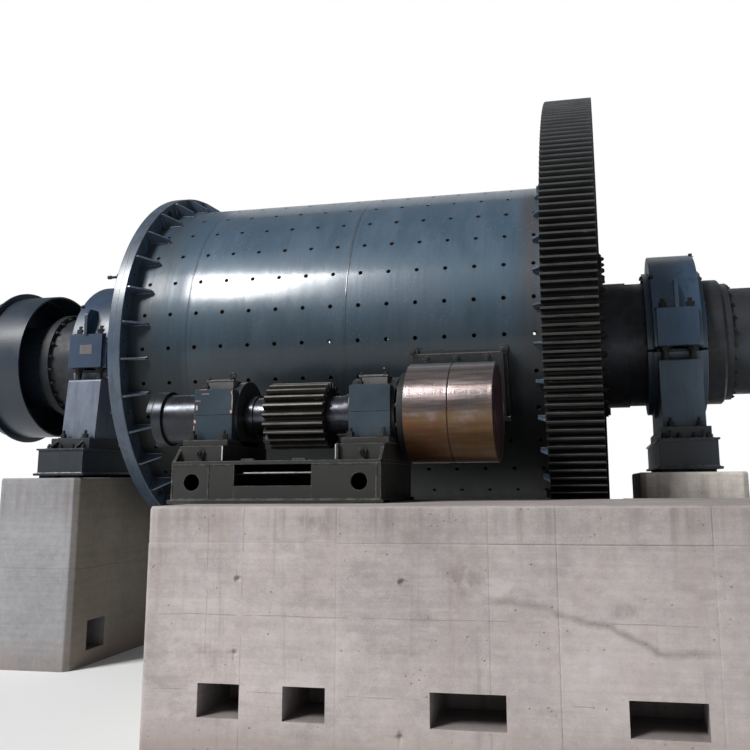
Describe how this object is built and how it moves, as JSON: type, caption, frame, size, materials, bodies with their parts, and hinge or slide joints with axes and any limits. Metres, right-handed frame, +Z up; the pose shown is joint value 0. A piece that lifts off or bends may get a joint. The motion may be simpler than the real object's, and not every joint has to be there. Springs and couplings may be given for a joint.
{
  "type": "ball mill",
  "caption": "Horizontal ball mill on concrete piers, with girth gear, trunnion bearings, feeder drum and a pinion shaft on its base frame.",
  "frame": {"origin": "ground level, at the centre of the whole footprint", "axes": "+X along the mill axis towards the girth gear, +Z up; the drive block stands on the -Y side"},
  "size_m": [7.825, 5.82, 5.14],
  "materials": {
    "shell_paint": "glossy blue-grey primer with brushed streaks",
    "flange_paint": "blue-grey primer",
    "gear_steel": "greased and dusty steel with pale tooth tips",
    "bearing_paint": "weathered grey-green primer",
    "trunnion_steel": "greased casting",
    "housing_paint": "teal primer",
    "shaft_steel": "lightly rusted machined steel",
    "drum_rust": "copper-brown surface rust",
    "end_red": "dark red primer",
    "frame_paint": "dark olive-grey primer",
    "concrete": "board-marked concrete with streaks"
  },
  "bodies": {
    "foundation": {"left_pier": "concrete", "right_pier": "concrete", "drive_block": "concrete", "left_bearing_packers": "frame_paint", "right_bearing_packers": "frame_paint", "left_bearing_base": "bearing_paint", "right_bearing_base": "bearing_paint", "left_bearing_pedestal": "bearing_paint", "right_bearing_pedestal": "bearing_paint", "left_bearing_studs": "shaft_steel", "right_bearing_studs": "shaft_steel", "left_bearing_cap": "bearing_paint", "right_bearing_cap": "bearing_paint", "pinion_base_frame": "frame_paint", "pinion_pedestals": "housing_paint", "pinion_left_housing": "housing_paint", "pinion_left_cap": "housing_paint", "pinion_right_housing": "housing_paint", "pinion_right_cap": "housing_paint"},
    "mill_drum": {"mill_shell": "shell_paint", "left_shell_flange": "flange_paint", "right_shell_flange": "flange_paint", "left_head": "flange_paint", "right_head": "flange_paint", "left_trunnion": "trunnion_steel", "right_trunnion": "trunnion_steel", "girth_gear_upper": "gear_steel", "girth_gear_lower": "gear_steel", "manhole_frame": "shell_paint", "manhole_cover": "shell_paint", "feeder_neck": "trunnion_steel", "feeder_end_plate": "flange_paint", "feeder_drum": "flange_paint", "feeder_ring": "flange_paint", "discharge_spout": "flange_paint"},
    "pinion_rotor": {"pinion_shaft": "shaft_steel", "pinion_gear": "shaft_steel", "jaw_coupling_half": "shaft_steel", "clutch_disc": "shaft_steel", "clutch_drum_left": "drum_rust", "clutch_drum_right": "drum_rust", "clutch_end_plate": "end_red"}
  },
  "joints": [
    {"name": "mill_spin", "type": "hinge", "parent": "foundation", "child": "mill_drum", "pos_m": [0.1485, 0.59, 2.82], "axis": [1, 0, 0], "continuous": true},
    {"name": "pinion_spin", "type": "hinge", "parent": "foundation", "child": "pinion_rotor", "pos_m": [0.2145, -1.80666, 2.04128], "axis": [1, 0, 0], "continuous": true}
  ]
}
